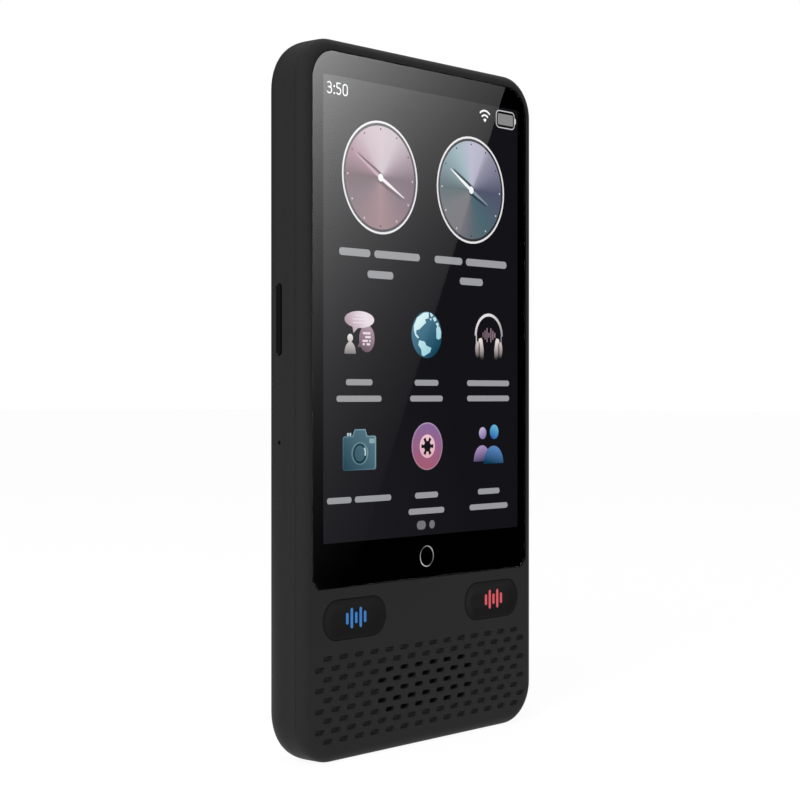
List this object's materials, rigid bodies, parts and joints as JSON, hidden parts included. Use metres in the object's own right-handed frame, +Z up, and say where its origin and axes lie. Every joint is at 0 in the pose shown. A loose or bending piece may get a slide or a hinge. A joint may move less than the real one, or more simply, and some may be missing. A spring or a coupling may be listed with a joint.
{
  "type": "handheld translator",
  "caption": "Slab-shaped handheld translator: touch screen over talk keys with coloured wave marks, brick-pattern speaker grille, side keys, rear camera and charging socket.",
  "frame": {"origin": "middle of the outline, on the surface that the lower end stands on", "axes": "+Z up the length of the device, +X to the right as seen from the front, -Y out of the screen"},
  "size_m": [0.0676, 0.012, 0.13],
  "materials": {
    "housing_abs": "moulded, soft satin texture",
    "key_abs": "moulded, finer and darker than the housing",
    "side_key_plastic": "moulded black",
    "cover_glass": "polished, with a black printed border",
    "camera_glass": "polished",
    "adhesive": "black foam tape",
    "display_glass": "polished",
    "backlight_metal": "pressed sheet",
    "circuit_board": "solder mask on glass laminate",
    "flat_cable": "polyimide film",
    "battery_pouch": "coated foil",
    "screw_steel": "zinc plated",
    "can_steel": "tin plated sheet",
    "blue_lens": "coloured clear moulding",
    "red_lens": "coloured clear moulding",
    "black_nylon": "moulded",
    "speaker_cloth": "woven dust mesh",
    "speaker_foam": "closed-cell foam",
    "speaker_film": "pressed film",
    "speaker_magnet": "nickel plated",
    "camera_trim": "anodised dark grey",
    "flash_diffuser": "milky clear moulding",
    "led_package": "yellow phosphor"
  },
  "bodies": {
    "housing": {"front_housing": "housing_abs", "rear_cover": "housing_abs", "cover_glass": "cover_glass", "glass_adhesive": "adhesive", "lcd_panel": "display_glass", "backlight_unit": "backlight_metal", "display_flex": "flat_cable", "main_board": "circuit_board", "lower_board": "circuit_board", "board_flex": "flat_cable", "battery": "battery_pouch", "main_board_screw_1": "screw_steel", "main_board_screw_2": "screw_steel", "main_board_screw_3": "screw_steel", "main_board_screw_4": "screw_steel", "lower_board_screw_1": "screw_steel", "lower_board_screw_2": "screw_steel", "lower_board_screw_3": "screw_steel", "lower_board_screw_4": "screw_steel", "cpu_shield": "can_steel", "radio_shield": "can_steel", "microphone": "can_steel", "speaker_mesh": "speaker_cloth", "speaker_gasket": "speaker_foam", "speaker_frame": "black_nylon", "speaker_cone": "speaker_film", "speaker_magnet": "speaker_magnet", "usb_c_shell": "can_steel", "usb_c_tongue": "black_nylon", "camera_module": "black_nylon", "camera_ring": "camera_trim", "camera_window": "camera_glass", "flash_lens": "flash_diffuser", "flash_led": "led_package", "talk_switch_left": "black_nylon", "talk_switch_right": "black_nylon", "volume_up_switch": "black_nylon", "volume_down_switch": "black_nylon", "reset_switch": "black_nylon", "power_switch": "black_nylon"},
    "left_talk_key": {"talk_key_left": "key_abs", "talk_lens_left": "blue_lens"},
    "right_talk_key": {"talk_key_right": "key_abs", "talk_lens_right": "red_lens"},
    "volume_key": {"volume_rocker": "side_key_plastic"},
    "power_button": {"power_key": "side_key_plastic"}
  },
  "joints": [
    {"name": "left_talk_press", "type": "slide", "parent": "housing", "child": "left_talk_key", "axis": [0, 1, 0], "range_m": [0, 0.0004], "stiffness_N_per_m": 800},
    {"name": "right_talk_press", "type": "slide", "parent": "housing", "child": "right_talk_key", "axis": [0, 1, 0], "range_m": [0, 0.0004], "stiffness_N_per_m": 800},
    {"name": "volume_tilt", "type": "hinge", "parent": "housing", "child": "volume_key", "pos_m": [-0.03135, 0.00017, 0.0795], "axis": [0, 1, 0], "range_deg": [-2, 2], "stiffness_Nm_per_rad": 0.05},
    {"name": "power_press", "type": "slide", "parent": "housing", "child": "power_button", "axis": [-1, 0, 0], "range_m": [0, 0.00035], "stiffness_N_per_m": 800}
  ]
}
